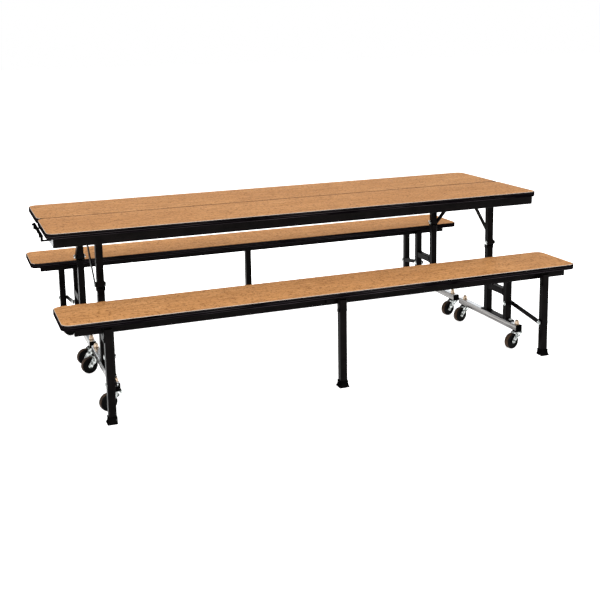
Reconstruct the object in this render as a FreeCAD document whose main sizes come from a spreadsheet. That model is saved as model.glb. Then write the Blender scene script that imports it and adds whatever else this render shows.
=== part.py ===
import FreeCAD
import Part
import math
import os
import re
import Sketcher
from FreeCAD import Placement, Rotation, Vector

# Cafeteria folding table with benches, in millimetres, +Z up, origin on the floor at the centre.
# Two equal mobile units stand seam to seam. Each unit has one leaf of the table and one bench.
# A unit is drawn once, with y counted outwards from the seam and x along the table. The rear
# unit stands as drawn, and the front unit is the same unit turned by half a turn about Z.
# Paired pieces are drawn on the unit's +x side and mirrored to the other side.

SIZES = {
    # leaf of the table
    "top_length": 2438, "top_height": 737, "leaf_edge": 381, "seam_gap": 0.8,
    "board_thick": 24, "edging_thick": 3, "corner_radius": 40,
    "edging_tongue": 6, "tongue_thick": 3, "tongue_play": 0.2,
    # bench
    "bench_length": 2438, "bench_height": 432, "bench_inner_edge": 412, "bench_outer_edge": 716,
    # square steel tube of posts, legs and caster bars
    "tube_side": 32, "tube_wall": 2, "tube_chamfer": 2,
    # ladder frame: inner and outer post on a foot strip, with a cross tube
    "ladder_setback": 227, "inner_post_place": 292, "outer_post_place": 470,
    "cross_tube_height": 255, "strip_thick": 5, "strip_reach": 42, "strip_bolt_inset": 13,
    # rails under the leaf
    "rail_setback": 27, "apron_edge": 370, "apron_thick": 20, "apron_depth": 40,
    "inner_rail_edge": 20, "inner_rail_width": 20, "rail_depth": 22, "rail_wall": 2, "rail_chamfer": 1.5,
    "end_strip_thick": 5, "end_strip_depth": 28, "end_strip_drop": 2,
    # pivot of the leaf on the lower post
    "leaf_pivot_height": 477, "ear_thick": 4, "ear_length": 28, "ear_width": 24, "post_gap": 2,
    "brace_width": 22, "brace_thick": 5, "brace_seat": 4, "brace_top_place": 54,
    # release pull: a grip beyond the leaf's end, on two arms that slide under the board
    "pull_low_place": 50, "pull_high_place": 335, "pull_stand_out": 15, "pull_rise": 10,
    "pull_bar_radius": 7, "pull_arm_drop": 9, "pull_arm_width": 12, "pull_arm_thick": 6,
    "pull_upright": 10, "pull_nub_radius": 5, "pull_nub_reach": 26,
    "pull_stop_width": 18, "pull_stop_thick": 6, "pull_travel": 14,
    # bench frame and its pivots
    "bench_rail_setback": 55, "bench_rail_side": 22, "outer_rail_inset": 26, "inner_rail_inset": 78,
    "inner_rail_depth": 38, "bench_pivot_drop": 20, "leg_pivot_drop": 56, "leg_inset": 6,
    "leg_top_drop": 8, "middle_leg_place": 14, "bracket_thick": 2.5, "bracket_plate": 2,
    "bracket_play": 0.3, "cheek_width": 20, "flange_width": 70, "leg_flange_depth": 18,
    "latch_width": 34, "latch_depth": 12, "latch_height": 20, "latch_pin_side": 6,
    "latch_pin_length": 8,
    # link between outer post and end leg
    "link_inner_height": 200, "link_width": 22, "link_thick": 5, "link_gap": 6, "leg_gap": 3,
    "shoulder_radius": 9,
    # bolts and pins
    "pin_radius": 5, "running_gap": 0.3, "head_radius": 9, "head_thick": 6, "thin_head": 2,
    "strip_bolt_side": 8, "strip_head_radius": 8, "strip_bolt_length": 26,
    # foot boots
    "boot_wall": 2.5, "boot_flare": 5, "boot_sole": 6, "boot_height": 30, "boot_floor": 5,
    # caster bar
    "bar_inner_end": 25, "bar_outer_end": 580, "cap_thick": 6, "cap_plug": 8, "cap_play": 0.2,
    # swivel casters
    "inner_caster_place": 66, "outer_caster_place": 559, "trail_direction": 195,
    "wheel_diameter": 76, "wheel_width": 26, "wheel_trail": 38, "axle_radius": 4, "axle_head": 4,
    "axle_head_radius": 8, "fork_gap": 1.5, "fork_thick": 2.5, "fork_lobe": 11, "fork_lip": 8,
    "crown_clearance": 1.5, "crown_thick": 2.5, "crown_radius": 22, "race_height": 3.7,
    "kingpin_head": 4, "kingpin_head_radius": 8, "neck_side": 9,
    "nut_height": 14, "nut_radius": 11, "nut_cap": 9, "nut_cap_radius": 8,
}

# Places and sizes that follow from the driving dimensions above.
DERIVED = {
    "leaf_inner_edge": "seam_gap / 2",
    "rail_half_length": "top_length / 2 - rail_setback",
    "bench_rail_length": "bench_length - 2 * bench_rail_setback",
    "ladder_place": "top_length / 2 - ladder_setback",
    "top_bottom": "top_height - board_thick",
    "bench_bottom": "bench_height - board_thick",
    "rail_bottom": "top_bottom - rail_depth",
    "apron_inner": "apron_edge - apron_thick",
    "inner_rail_outer": "inner_rail_edge + inner_rail_width",
    "brace_inside": "tube_side / 2 + ear_thick + running_gap",
    "brace_top": "rail_bottom - brace_seat",
    "upper_leg_width": "tube_side - 2 * running_gap",
    "pull_place": "top_length / 2 + pull_stand_out",
    "pull_height": "top_bottom + pull_rise",
    "pull_arm_top": "top_bottom - pull_arm_drop + pull_arm_thick / 2",
    "pull_arm_bottom": "pull_arm_top - pull_arm_thick",
    "bench_pivot": "bench_bottom - bench_pivot_drop",
    "leg_pivot": "bench_bottom - leg_pivot_drop",
    "leg_top": "bench_bottom - leg_top_drop",
    "leg_line": "bench_outer_edge - leg_inset",
    "outer_rail_face": "bench_outer_edge - outer_rail_inset",
    "inner_rail_face": "bench_inner_edge + inner_rail_inset",
    "link_outer_height": "link_inner_height - bench_pivot + leg_pivot",
    "bracket_half": "tube_side / 2 + bracket_play + bracket_thick",
    "link_inside": "ladder_place + tube_side / 2 + link_gap",
    "link_outside": "link_inside + link_thick",
    "leg_place": "link_outside + leg_gap + tube_side / 2",
    "boot_side": "tube_side + 2 * boot_wall",
    "sole_length": "boot_side + 2 * boot_flare",
    "wheel_radius": "wheel_diameter / 2",
    "fork_inside": "wheel_width + 2 * fork_gap",
    "fork_outside": "fork_inside + 2 * fork_thick",
    "crown_bottom": "wheel_diameter + crown_clearance",
    "crown_top": "crown_bottom + crown_thick",
    "race_bottom": "crown_top + running_gap",
    "bar_bottom": "race_bottom + race_height",
    "bar_top": "bar_bottom + tube_side",
    "bar_start": "bar_inner_end + cap_thick",
    "bar_length": "bar_outer_end - bar_inner_end - 2 * cap_thick",
    "strip_top": "bar_top + strip_thick",
    "inner_bolt_place": "inner_post_place - strip_reach + strip_bolt_inset",
    "outer_bolt_place": "outer_post_place + strip_reach - strip_bolt_inset",
}

# Share of a corner's radius that a straight cut touching its arc takes off each side.
ARC_TO_CUT = 2 - math.sqrt(2)

ALONG_X = Rotation(Vector(0, 1, 0), 90)
ALONG_Y = Rotation(Vector(1, 0, 0), -90)
UPSIDE_DOWN = Rotation(Vector(1, 0, 0), 180)
HALF_TURN = Rotation(Vector(0, 0, 1), 180)
AS_DRAWN = Rotation()

doc = FreeCAD.newDocument("FoldingTable")
sheet = doc.addObject("Spreadsheet::Sheet", "Sizes")
for row, (alias, size) in enumerate(SIZES.items(), start=1):
    sheet.set(f"A{row}", alias)
    sheet.set(f"B{row}", str(size))
    sheet.setAlias(f"B{row}", alias)
doc.recompute()

WORD = re.compile(r"[a-z_]+")


def formula(text):
    """Write a size in words as an expression on the sheet of driving dimensions."""
    def swap(found):
        word = found.group()
        if word in DERIVED:
            return "(" + formula(DERIVED[word]) + ")"
        if word in SIZES:
            return "Sizes." + word
        return word
    return WORD.sub(swap, text)


def value(text):
    return float(sheet.evalExpression(formula(text)))


def bind(thing, sizes):
    for prop, text in sizes.items():
        thing.setExpression(prop, formula(text))


def place(thing, x="0", y="0", z="0", turn=AS_DRAWN):
    """Set a piece down, turned and then moved to a place that follows the sheet."""
    thing.Placement = Placement(Vector(), turn)
    for axis, text in zip("xyz", (x, y, z)):
        if text != "0":
            bind(thing, {f"Placement.Base.{axis}": text})
    return thing


# ---------------------------------------------------------------- sketches

def new_body(name):
    return doc.addObject("PartDesign::Body", name)


def new_sketch(body, role, name, lift="0"):
    """Sketch on one of the body's own origin planes, lifted off it along its normal."""
    sketch = body.newObject("Sketcher::SketchObject", f"{body.Name}_{name}")
    plane = next(item for item in body.Origin.OriginFeatures if item.Role == role)
    sketch.AttachmentSupport = [(plane, "")]
    sketch.MapMode = "FlatFace"
    if lift != "0":
        bind(sketch, {"AttachmentOffset.Base.z": lift})
    return sketch


def fix(sketch, kind, *where):
    sketch.addConstraint(Sketcher.Constraint(kind, *where))


def dimension(sketch, kind, *where):
    """Add a driving dimension; the last argument is its size in words."""
    *geometry, text = where
    index = sketch.addConstraint(Sketcher.Constraint(kind, *geometry, value(text)))
    bind(sketch, {f"Constraints[{index}]": text})


def put_point(sketch, geometry, point, x, y):
    """Hold a point at x, y; on an axis where the size is nought."""
    if x == "0":
        fix(sketch, "PointOnObject", geometry, point, -2)
    else:
        dimension(sketch, "DistanceX", -1, 1, geometry, point, x)
    if y == "0":
        fix(sketch, "PointOnObject", geometry, point, -1)
    else:
        dimension(sketch, "DistanceY", -1, 1, geometry, point, y)


def circle(sketch, x, y, radius):
    centre = Vector(value(x), value(y), 0)
    number = sketch.addGeometry(Part.Circle(centre, Vector(0, 0, 1), value(radius)))
    put_point(sketch, number, 3, x, y)
    dimension(sketch, "Radius", number, radius)


def polygon(sketch, corners):
    points = [Vector(value(x), value(y), 0) for x, y in corners]
    first = sketch.GeometryCount
    for start, end in zip(points, points[1:] + points[:1]):
        sketch.addGeometry(Part.LineSegment(start, end))
    for step, (x, y) in enumerate(corners):
        after = first + (step + 1) % len(corners)
        fix(sketch, "Coincident", first + step, 2, after, 1)
        put_point(sketch, first + step, 1, x, y)


def rectangle(sketch, width, height, x="0", y="0"):
    """Plain rectangle about the point x, y."""
    left, right = f"{x} - ({width}) / 2", f"{x} + ({width}) / 2"
    low, high = f"{y} - ({height}) / 2", f"{y} + ({height}) / 2"
    polygon(sketch, [(left, low), (right, low), (right, high), (left, high)])


def chamfered_rectangle(sketch, width, height, cut):
    """Rectangle about the sketch's origin with its four corners cut off."""
    across, up = f"({width}) / 2", f"({height}) / 2"
    corners = []
    for sign_x, sign_y in ((1, -1), (1, 1), (-1, 1), (-1, -1)):
        on_side = (f"{sign_x} * ({across})", f"{sign_y} * ({up} - ({cut}))")
        on_end = (f"{sign_x} * ({across} - ({cut}))", f"{sign_y} * ({up})")
        corners += [on_end, on_side] if sign_x * sign_y < 0 else [on_side, on_end]
    polygon(sketch, corners)


def rounded_rectangle(sketch, width, height, radius):
    """Rectangle about the sketch's origin with four equal round corners."""
    across, up, bend = value(width) / 2, value(height) / 2, value(radius)
    centres = [(across - bend, bend - up), (across - bend, up - bend),
               (bend - across, up - bend), (bend - across, bend - up)]
    arcs = []
    for step, (x, y) in enumerate(centres):
        start = math.radians(90 * step - 90)
        ring = Part.Circle(Vector(x, y, 0), Vector(0, 0, 1), bend)
        arcs.append(Part.ArcOfCircle(ring, start, start + math.pi / 2))
    first = sketch.GeometryCount
    for step, arc in enumerate(arcs):
        sketch.addGeometry(Part.LineSegment(arcs[step - 1].EndPoint, arc.StartPoint))
        sketch.addGeometry(arc)
    for step in range(4):
        line = first + 2 * step
        fix(sketch, "Tangent", line, 2, line + 1, 1)
        fix(sketch, "Tangent", line + 1, 2, first + (2 * step + 2) % 8, 1)
        fix(sketch, "Vertical" if step % 2 else "Horizontal", line)
    for step in (3, 5, 7):
        fix(sketch, "Equal", first + 1, first + step)
    fix(sketch, "Symmetric", first + 1, 3, first + 5, 3, -1, 1)
    dimension(sketch, "DistanceX", first + 6, 1, first + 2, 1, width)
    dimension(sketch, "DistanceY", first, 1, first + 4, 1, height)
    dimension(sketch, "Radius", first + 1, radius)


def tongue(sketch, width, length):
    """Upright strip from the sketch's base line, round at its top about a pivot."""
    half, high = value(width) / 2, value(length)
    first = sketch.GeometryCount
    low_left, low_right = Vector(-half, 0, 0), Vector(half, 0, 0)
    top_left, top_right = Vector(-half, high, 0), Vector(half, high, 0)
    ring = Part.Circle(Vector(0, high, 0), Vector(0, 0, 1), half)
    sketch.addGeometry(Part.LineSegment(low_left, low_right))
    sketch.addGeometry(Part.LineSegment(low_right, top_right))
    sketch.addGeometry(Part.ArcOfCircle(ring, 0, math.pi))
    sketch.addGeometry(Part.LineSegment(top_left, low_left))
    fix(sketch, "Coincident", first, 2, first + 1, 1)
    fix(sketch, "Tangent", first + 1, 2, first + 2, 1)
    fix(sketch, "Tangent", first + 2, 2, first + 3, 1)
    fix(sketch, "Coincident", first + 3, 2, first, 1)
    fix(sketch, "Vertical", first + 1)
    fix(sketch, "Horizontal", first)
    fix(sketch, "Symmetric", first, 1, first, 2, -1, 1)
    dimension(sketch, "DistanceX", first, 1, first, 2, width)
    dimension(sketch, "DistanceY", -1, 1, first + 2, 3, length)


def slot(sketch, start, end, width):
    """Flat bar with round ends between two points."""
    (x1, y1), (x2, y2) = start, end
    a, b = Vector(value(x1), value(y1), 0), Vector(value(x2), value(y2), 0)
    lean = math.atan2(b.y - a.y, b.x - a.x)
    half = value(width) / 2
    side = Vector(-math.sin(lean), math.cos(lean), 0) * half
    first = sketch.GeometryCount
    near = Part.Circle(a, Vector(0, 0, 1), half)
    far = Part.Circle(b, Vector(0, 0, 1), half)
    sketch.addGeometry(Part.ArcOfCircle(near, lean + math.pi / 2, lean + 1.5 * math.pi))
    sketch.addGeometry(Part.LineSegment(a - side, b - side))
    sketch.addGeometry(Part.ArcOfCircle(far, lean - math.pi / 2, lean + math.pi / 2))
    sketch.addGeometry(Part.LineSegment(b + side, a + side))
    for step in range(4):
        fix(sketch, "Tangent", first + step, 2, first + (step + 1) % 4, 1)
    fix(sketch, "Equal", first, first + 2)
    put_point(sketch, first, 3, x1, y1)
    put_point(sketch, first + 2, 3, x2, y2)
    dimension(sketch, "Radius", first, f"({width}) / 2")


# ---------------------------------------------------------------- features

def pad(sketch, length, symmetric=False, reverse=False):
    body = sketch.getParentGeoFeatureGroup()
    feature = body.newObject("PartDesign::Pad", f"{sketch.Name}_pad")
    feature.Profile = sketch
    bind(feature, {"Length": length})
    feature.SideType = "Symmetric" if symmetric else "One side"
    feature.Reversed = reverse
    return feature


def pocket(sketch, length, symmetric=False, along_normal=False):
    body = sketch.getParentGeoFeatureGroup()
    feature = body.newObject("PartDesign::Pocket", f"{sketch.Name}_pocket")
    feature.Profile = sketch
    bind(feature, {"Length": length})
    feature.SideType = "Symmetric" if symmetric else "One side"
    feature.Reversed = along_normal
    return feature


def upright_edges(shape):
    """Names of the straight edges that run along Z."""
    names = []
    for number, edge in enumerate(shape.Edges, start=1):
        if edge.Curve.TypeId == "Part::GeomLine" and abs(edge.Curve.Direction.z) > 0.999:
            names.append(f"Edge{number}")
    return names


def chamfer_uprights(feature, cut):
    doc.recompute()
    body = feature.getParentGeoFeatureGroup()
    chamfer = body.newObject("PartDesign::Chamfer", f"{body.Name}_chamfer")
    chamfer.Base = (feature, upright_edges(feature.Shape))
    bind(chamfer, {"Size": cut})
    return chamfer


# ---------------------------------------------------------------- shared kinds of piece

def tube(name, width, height, length, wall, cut):
    """Rectangular tube along its own Z."""
    body = new_body(name)
    section = new_sketch(body, "XY_Plane", "section")
    chamfered_rectangle(section, width, height, cut)
    rectangle(section, f"{width} - 2 * {wall}", f"{height} - 2 * {wall}")
    pad(section, length)
    return body


def cross_holes(body, heights):
    """Pin holes through a piece along X at the given heights."""
    holes = new_sketch(body, "YZ_Plane", "cross_holes")
    for height in heights:
        circle(holes, "0", height, "pin_radius + running_gap")
    pocket(holes, "2 * tube_side", symmetric=True)


def pivot_post(name, width, length, heights):
    """Tube with a round, plugged top about its pivot and cross holes, up from its own origin."""
    body = new_body(name)
    profile = new_sketch(body, "YZ_Plane", "profile")
    tongue(profile, "tube_side", length)
    for height in heights:
        circle(profile, "0", height, "pin_radius + running_gap")
    chamfer_uprights(pad(profile, width, symmetric=True), "tube_chamfer")
    bore = new_sketch(body, "XY_Plane", "bore")
    rectangle(bore, f"{width} - 2 * tube_wall", "tube_side - 2 * tube_wall")
    pocket(bore, f"{length} - tube_side * 0.75", along_normal=True)
    return body


def ear(name):
    """Flat plate, round about the leaf pivot, one face on its own origin."""
    body = new_body(name)
    profile = new_sketch(body, "YZ_Plane", "profile")
    tongue(profile, "ear_width", "ear_length")
    circle(profile, "0", "ear_length", "pin_radius + running_gap")
    pad(profile, "ear_thick")
    return body


def hinge_bracket(name, drop, flange_depth, flange_shift):
    """U-bracket screwed under the bench board, with its pivot at the drop below the board."""
    body = new_body(name)
    cheeks = new_sketch(body, "YZ_Plane", "cheeks")
    tongue(cheeks, "cheek_width", drop)
    circle(cheeks, "0", drop, "pin_radius + running_gap")
    pad(cheeks, "2 * bracket_half", symmetric=True)
    mouth = new_sketch(body, "XZ_Plane", "mouth")
    reach = f"{drop} + tube_side"
    rectangle(mouth, "tube_side + 2 * bracket_play", reach, y=f"bracket_plate + ({reach}) / 2")
    pocket(mouth, "2 * tube_side", symmetric=True)
    flange = new_sketch(body, "XY_Plane", "flange")
    rectangle(flange, "flange_width", flange_depth, y=flange_shift)
    pad(flange, "bracket_plate")
    return body


def flat_bar(name, start, end, width, thick, holes):
    """Flat bar with round ends in the plane across the table, one face on its own origin."""
    body = new_body(name)
    outline = new_sketch(body, "YZ_Plane", "outline")
    slot(outline, start, end, width)
    for y, z in holes:
        circle(outline, y, z, "pin_radius + running_gap")
    pad(outline, thick)
    return body


def stacked(name, stages):
    """Bolt or pin as one solid: round, square and hex stages from low to high along its own Z."""
    parts = []
    for kind, radius, low, high in stages:
        if kind == "hex":
            part = doc.addObject("Part::Prism", f"{name}_hex")
            part.Polygon = 6
            bind(part, {"Circumradius": radius, "Height": f"{high} - ({low})"})
        elif kind == "square":
            part = doc.addObject("Part::Box", f"{name}_square")
            bind(part, {"Length": f"2 * ({radius})", "Width": f"2 * ({radius})"})
            bind(part, {"Height": f"{high} - ({low})"})
            bind(part, {"Placement.Base.x": f"-({radius})", "Placement.Base.y": f"-({radius})"})
        else:
            part = doc.addObject("Part::Cylinder", f"{name}_round")
            bind(part, {"Radius": radius, "Height": f"{high} - ({low})"})
        bind(part, {"Placement.Base.z": low})
        parts.append(part)
    bolt = doc.addObject("Part::MultiFuse", name)
    bolt.Shapes = parts
    return bolt


def mirrored(thing):
    twin = doc.addObject("Part::Mirroring", f"{thing.Name}_mirrored")
    twin.Source = thing
    twin.Normal = Vector(1, 0, 0)
    return twin


# ---------------------------------------------------------------- boards

def board_and_edging(name, length, low, high, bottom):
    """Board with a groove round its edge, and the T-section edging strip that sits in it."""
    middle = f"({low} + {high}) / 2"
    width = f"({high} - {low})"

    def outline(sketch, inset):
        across = f"{length} - 2 * ({inset})"
        deep = f"{width} - 2 * ({inset})"
        rounded_rectangle(sketch, across, deep, f"corner_radius - ({inset})")

    def inner_outline(sketch, inset):
        """Corners cut straight, each cut touching the arc that a round corner would have."""
        across = f"{length} - 2 * ({inset})"
        deep = f"{width} - 2 * ({inset})"
        chamfered_rectangle(sketch, across, deep, f"(corner_radius - ({inset})) * {ARC_TO_CUT}")

    board = new_body(f"{name}_panel")
    face = new_sketch(board, "XY_Plane", "face")
    outline(face, "edging_thick")
    pad(face, "board_thick")
    groove = new_sketch(board, "XY_Plane", "groove", "(board_thick - tongue_thick) / 2 - tongue_play")
    outline(groove, "edging_thick - 1")
    inner_outline(groove, "edging_thick + edging_tongue + tongue_play")
    pocket(groove, "tongue_thick + 2 * tongue_play", along_normal=True)
    place(board, y=middle, z=bottom)

    edging = new_body(f"{name}_strip")
    band = new_sketch(edging, "XY_Plane", "band")
    outline(band, "0")
    outline(band, "edging_thick")
    pad(band, "board_thick")
    web = new_sketch(edging, "XY_Plane", "web", "(board_thick - tongue_thick) / 2")
    outline(web, "edging_thick / 2")
    inner_outline(web, "edging_thick + edging_tongue")
    pad(web, "tongue_thick")
    place(edging, y=middle, z=bottom)
    return board, edging


# ---------------------------------------------------------------- leaf

def rail(name, depth, width, length, edge, top):
    """Tube along the table with its outer side at the edge and its upper side at the top."""
    thing = tube(name, depth, width, length, "rail_wall", "rail_chamfer")
    return place(thing, f"-({length}) / 2", f"{edge} - ({width}) / 2", f"{top} - ({depth}) / 2", ALONG_X)


def leaf_rails():
    """Apron, inner rail, two cross rails and the two end strips, welded to one frame."""
    length = "2 * rail_half_length"
    pieces = [
        rail("apron", "apron_depth", "apron_thick", length, "apron_edge", "top_bottom"),
        rail("inner_rail", "rail_depth", "inner_rail_width", length, "inner_rail_outer", "top_bottom"),
    ]
    cross_length = "apron_inner - inner_rail_outer"
    cross = tube("cross_rail", "2 * brace_inside", "rail_depth", cross_length, "rail_wall", "rail_chamfer")
    place(cross, "ladder_place", "inner_rail_outer", "top_bottom - rail_depth / 2", ALONG_Y)
    drilled = end_strip("pull_end_strip", ["pull_low_place", "pull_high_place"])
    plain = end_strip("plain_end_strip", [])
    return pieces + [cross, mirrored(cross), drilled, mirrored(plain)]


def end_strip(name, arms):
    """Upright plate over the rails' ends, with a slot for each arm of the release pull."""
    strip = new_body(name)
    face = new_sketch(strip, "YZ_Plane", "face")
    rectangle(face, "apron_edge - inner_rail_edge", "end_strip_depth")
    middle = "(apron_edge + inner_rail_edge) / 2"
    height = "top_bottom - end_strip_drop - end_strip_depth / 2"
    slot_width = "pull_arm_width + 2 * running_gap"
    slot_height = "pull_arm_thick + 2 * running_gap"
    arm_line = f"(pull_arm_top + pull_arm_bottom) / 2 - ({height})"
    for arm in arms:
        rectangle(face, slot_width, slot_height, f"({arm} - {middle})", f"({arm_line})")
    pad(face, "end_strip_thick")
    return place(strip, "rail_half_length", middle, height)


def upper_leg():
    """Upper table leg, turning on the lower post, and its brace up to the cross rail."""
    length = "rail_bottom - leaf_pivot_height"
    leg = pivot_post("upper_leg", "upper_leg_width", length, [length])
    place(leg, "ladder_place", "inner_post_place", "rail_bottom", UPSIDE_DOWN)
    pivot = ("inner_post_place", "leaf_pivot_height")
    top = ("brace_top_place", "brace_top")
    brace = flat_bar("brace", pivot, top, "brace_width", "brace_thick", [pivot])
    place(brace, "ladder_place + brace_inside")
    return [leg, brace]


def block(name, spans):
    """Upright block between low and high along X, Y and Z."""
    part = doc.addObject("Part::Box", name)
    for size, axis, (low, high) in zip(("Length", "Width", "Height"), "xyz", spans):
        bind(part, {size: f"{high} - ({low})", f"Placement.Base.{axis}": low})
    return part


def release_pull():
    """Grip bar between two uprights, each on an arm that slides through the end strip."""
    grip = doc.addObject("Part::Cylinder", "pull_grip")
    bind(grip, {"Radius": "pull_bar_radius", "Height": "pull_high_place - pull_low_place"})
    place(grip, "pull_place", "pull_low_place", "pull_height", ALONG_Y)
    parts = [grip]
    stop_end = "rail_half_length - pull_travel"
    outer_face = "pull_place + pull_upright / 2"
    for name, line in (("low", "pull_low_place"), ("high", "pull_high_place")):
        across = (f"{line} - pull_arm_width / 2", f"{line} + pull_arm_width / 2")
        stop_across = (f"{line} - pull_stop_width / 2", f"{line} + pull_stop_width / 2")
        arm_up = ("pull_arm_bottom", "pull_arm_top")
        stop_up = ("pull_arm_bottom - pull_arm_thick / 2", "pull_arm_top")
        upright = ("pull_place - pull_upright / 2", outer_face)
        parts += [
            block(f"{name}_arm", [(stop_end, outer_face), across, arm_up]),
            block(f"{name}_stop", [(f"{stop_end} - pull_stop_thick", stop_end), stop_across, stop_up]),
            block(f"{name}_upright", [upright, across, ("pull_arm_bottom", "pull_height + pull_bar_radius")]),
        ]
        nub = doc.addObject("Part::Cylinder", f"{name}_nub")
        nub_length = "pull_nub_reach - pull_stand_out - pull_upright / 2"
        bind(nub, {"Radius": "pull_nub_radius", "Height": nub_length})
        parts.append(place(nub, outer_face, line, "pull_height", ALONG_X))
    pull = doc.addObject("Part::MultiFuse", "release_pull")
    pull.Shapes = parts
    return [pull]


# ---------------------------------------------------------------- bench

def bench_rails():
    """Shallow rail by the legs and a deeper one by the posts, which the folded legs just clear."""
    side, length = "bench_rail_side", "bench_rail_length"
    inner_edge = f"inner_rail_face + {side}"
    return [
        rail("bench_outer_rail", side, side, length, "outer_rail_face", "bench_bottom"),
        rail("bench_inner_rail", "inner_rail_depth", side, length, inner_edge, "bench_bottom"),
    ]


def bench_brackets():
    """Hinge brackets under the bench with their pins: on the outer posts and on the legs."""
    post_bracket = hinge_bracket("post_bracket", "bench_pivot_drop", "cheek_width", "0")
    place(post_bracket, "ladder_place", "outer_post_place", "bench_bottom", UPSIDE_DOWN)
    shift = "cheek_width / 2 - leg_flange_depth / 2"
    leg_bracket = hinge_bracket("leg_bracket", "leg_pivot_drop", "leg_flange_depth", shift)
    place(leg_bracket, "leg_place", "leg_line", "bench_bottom", UPSIDE_DOWN)
    middle_bracket = hinge_bracket("middle_bracket", "leg_pivot_drop", "leg_flange_depth", shift)
    place(middle_bracket, "middle_leg_place", "leg_line", "bench_bottom", UPSIDE_DOWN)

    def pin(name, x, y, z):
        stages = [
            ("hex", "head_radius", "-bracket_half - thin_head", "-bracket_half"),
            ("round", "pin_radius", "-bracket_half", "bracket_half"),
            ("hex", "head_radius", "bracket_half", "bracket_half + thin_head"),
        ]
        return place(stacked(name, stages), x, y, z, ALONG_X)

    post_pin = pin("post_pin", "ladder_place", "outer_post_place", "bench_pivot")
    leg_pin = pin("leg_pin", "leg_place", "leg_line", "leg_pivot")
    middle_pin = pin("middle_pin", "middle_leg_place", "leg_line", "leg_pivot")
    latch_start = "middle_leg_place + flange_width / 2 + 1"
    latch_end = f"{latch_start} + latch_width"
    latch_across = ("outer_rail_face", "outer_rail_face + latch_depth")
    latch_up = ("bench_bottom - latch_height", "bench_bottom")
    latch = block("latch_block", [(latch_start, latch_end), latch_across, latch_up])
    pin_line, pin_height = "outer_rail_face + latch_depth / 2", "bench_bottom - latch_height / 2"
    half = "latch_pin_side / 2"
    pin_across = (f"{pin_line} - {half}", f"{pin_line} + {half}")
    pin_up = (f"{pin_height} - {half}", f"{pin_height} + {half}")
    stem = block("latch_pin", [(f"{latch_start} - latch_pin_length", latch_start), pin_across, pin_up])
    paired = [post_bracket, leg_bracket, post_pin, leg_pin]
    return paired + [mirrored(thing) for thing in paired] + [middle_bracket, middle_pin, latch, stem]


def bench_legs():
    """End leg with the bolt of its link, and middle leg without one."""
    pivot, link_bolt = "leg_pivot - boot_floor", "link_outer_height - boot_floor"
    section = ("tube_side", "tube_side", "leg_top - boot_floor", "tube_wall", "tube_chamfer")
    end_leg = tube("end_leg", *section)
    cross_holes(end_leg, [pivot, link_bolt])
    place(end_leg, "leg_place", "leg_line", "boot_floor")
    middle_leg = tube("middle_leg", *section)
    cross_holes(middle_leg, [pivot])
    place(middle_leg, "middle_leg_place", "leg_line", "boot_floor")
    inner_face = "leg_place - tube_side / 2"
    outer_face = "leg_place + tube_side / 2"
    head = "link_inside - running_gap"
    stages = [
        ("hex", "head_radius", f"{head} - head_thick", head),
        ("round", "pin_radius", head, outer_face),
        ("hex", "shoulder_radius", "link_outside + running_gap", inner_face),
        ("hex", "head_radius", outer_face, f"{outer_face} + head_thick"),
    ]
    bolt = place(stacked("leg_link_bolt", stages), "0", "leg_line", "link_outer_height", ALONG_X)
    return [end_leg, bolt], [middle_leg]


def foot_boot():
    """Square cup that the leg stands in, flared to a longer sole but slim enough to pass the link."""
    body = new_body("foot_boot")
    sole = new_sketch(body, "XY_Plane", "sole")
    chamfered_rectangle(sole, "boot_side", "sole_length", "tube_chamfer + boot_wall / 2")
    pad(sole, "boot_sole")
    flare_foot = new_sketch(body, "XY_Plane", "flare_foot", "boot_sole")
    chamfered_rectangle(flare_foot, "boot_side", "sole_length", "tube_chamfer + boot_wall / 2")
    collar = new_sketch(body, "XY_Plane", "collar", "boot_height")
    chamfered_rectangle(collar, "boot_side", "boot_side", "tube_chamfer + boot_wall / 2")
    flare = body.newObject("PartDesign::AdditiveLoft", "foot_boot_flare")
    flare.Profile = flare_foot
    flare.Sections = [collar]
    flare.Ruled = True
    inside = new_sketch(body, "XY_Plane", "inside", "boot_floor")
    rectangle(inside, "tube_side", "tube_side")
    pocket(inside, "boot_height", along_normal=True)
    return body


def foot_boots():
    end_boot = place(foot_boot(), "leg_place", "leg_line")
    middle_boot = place(foot_boot(), "middle_leg_place", "leg_line")
    return [end_boot, mirrored(end_boot), middle_boot]


def link():
    inner = ("outer_post_place", "link_inner_height")
    outer = ("leg_line", "link_outer_height")
    bar = flat_bar("link", inner, outer, "link_width", "link_thick", [inner, outer])
    return [place(bar, "link_inside")]


# ---------------------------------------------------------------- base

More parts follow.
